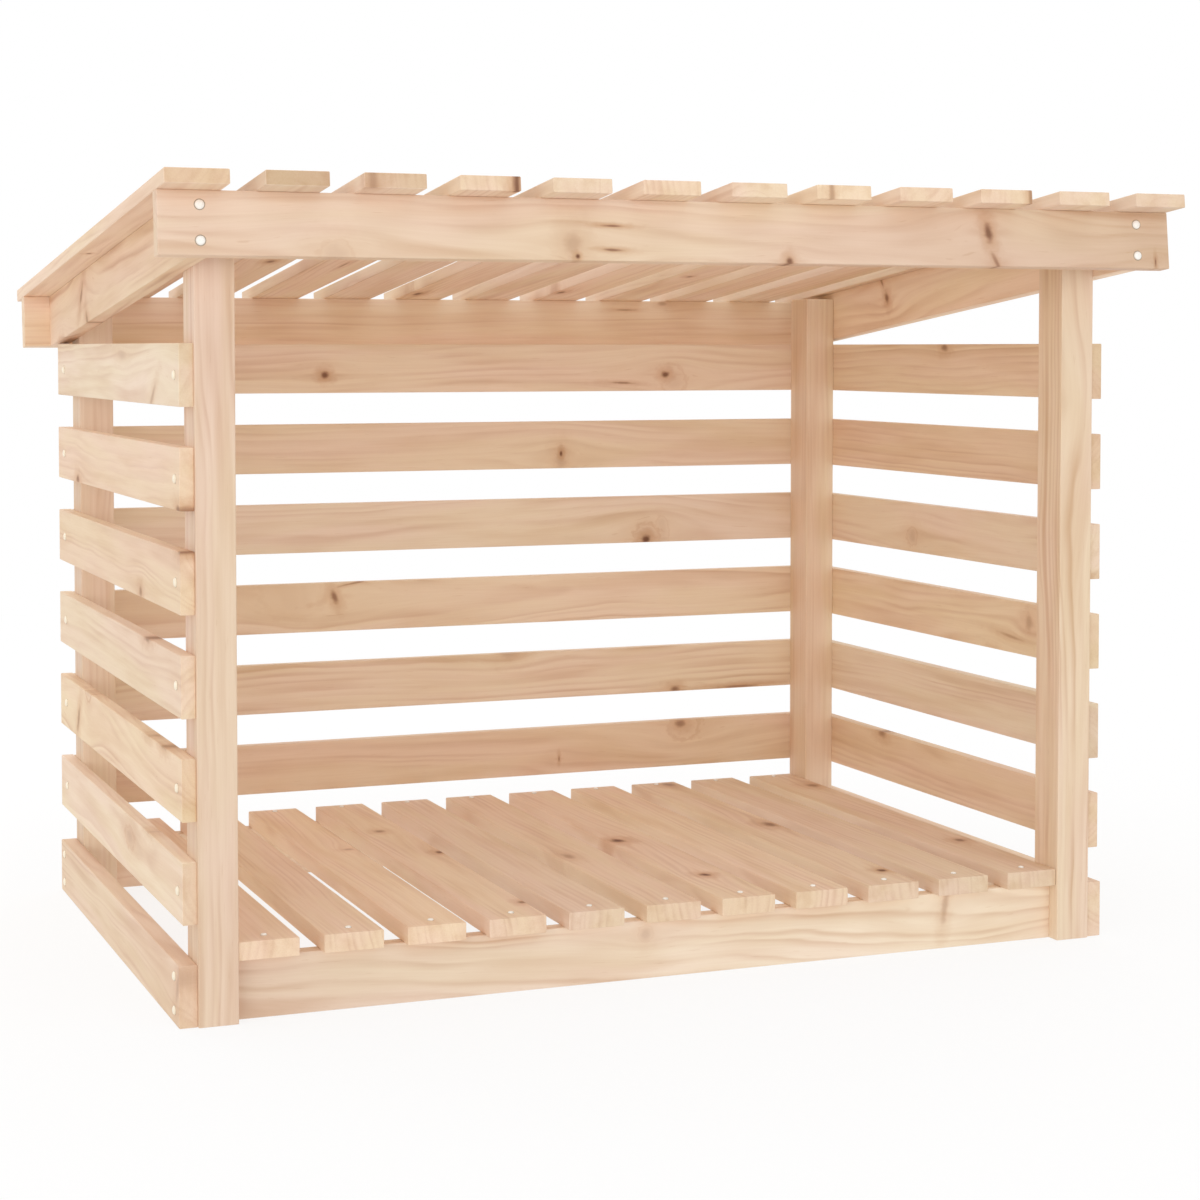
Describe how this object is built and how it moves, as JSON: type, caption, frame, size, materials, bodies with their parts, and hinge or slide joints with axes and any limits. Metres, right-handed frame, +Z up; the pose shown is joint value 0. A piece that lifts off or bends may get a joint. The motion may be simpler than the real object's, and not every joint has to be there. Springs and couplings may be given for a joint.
{
  "type": "log store",
  "caption": "Open-fronted pine log store: slatted side walls, back and floor on a post frame, under a slatted lean-to roof that falls to the back.",
  "frame": {"origin": "on the ground, under the middle of the store's bounding box", "axes": "+X to the right along the open front, +Y from the open front to the back, +Z up"},
  "size_m": [1.08, 0.8664, 0.806],
  "materials": {
    "frame_pine": "planed bare pine, pale cream with soft brown grain, satin",
    "slat_pine": "planed bare pine, pale cream with soft brown grain, satin",
    "floor_pine": "planed bare pine, warm tan with soft brown grain, satin"
  },
  "bodies": {
    "root": {"front_left_post": "frame_pine", "front_right_post": "frame_pine", "rear_left_post": "frame_pine", "rear_right_post": "frame_pine", "front_base_rail": "frame_pine", "rear_base_rail": "frame_pine", "left_base_rail": "frame_pine", "right_base_rail": "frame_pine", "left_wall_slat_1": "slat_pine", "left_wall_slat_2": "slat_pine", "left_wall_slat_3": "slat_pine", "left_wall_slat_4": "slat_pine", "left_wall_slat_5": "slat_pine", "left_wall_slat_6": "slat_pine", "right_wall_slat_1": "slat_pine", "right_wall_slat_2": "slat_pine", "right_wall_slat_3": "slat_pine", "right_wall_slat_4": "slat_pine", "right_wall_slat_5": "slat_pine", "right_wall_slat_6": "slat_pine", "back_wall_slat_1": "slat_pine", "back_wall_slat_2": "slat_pine", "back_wall_slat_3": "slat_pine", "back_wall_slat_4": "slat_pine", "back_wall_slat_5": "slat_pine", "back_wall_slat_6": "slat_pine", "floor_slats": "floor_pine", "left_rafter": "frame_pine", "right_rafter": "frame_pine", "front_roof_beam": "frame_pine", "rear_roof_beam": "frame_pine", "roof_slat_1": "slat_pine", "roof_slat_2": "slat_pine", "roof_slat_3": "slat_pine", "roof_slat_4": "slat_pine", "roof_slat_5": "slat_pine", "roof_slat_6": "slat_pine", "roof_slat_7": "slat_pine", "roof_slat_8": "slat_pine", "roof_slat_9": "slat_pine", "roof_slat_10": "slat_pine", "roof_slat_11": "slat_pine", "roof_slat_12": "slat_pine"}
  },
  "joints": []
}
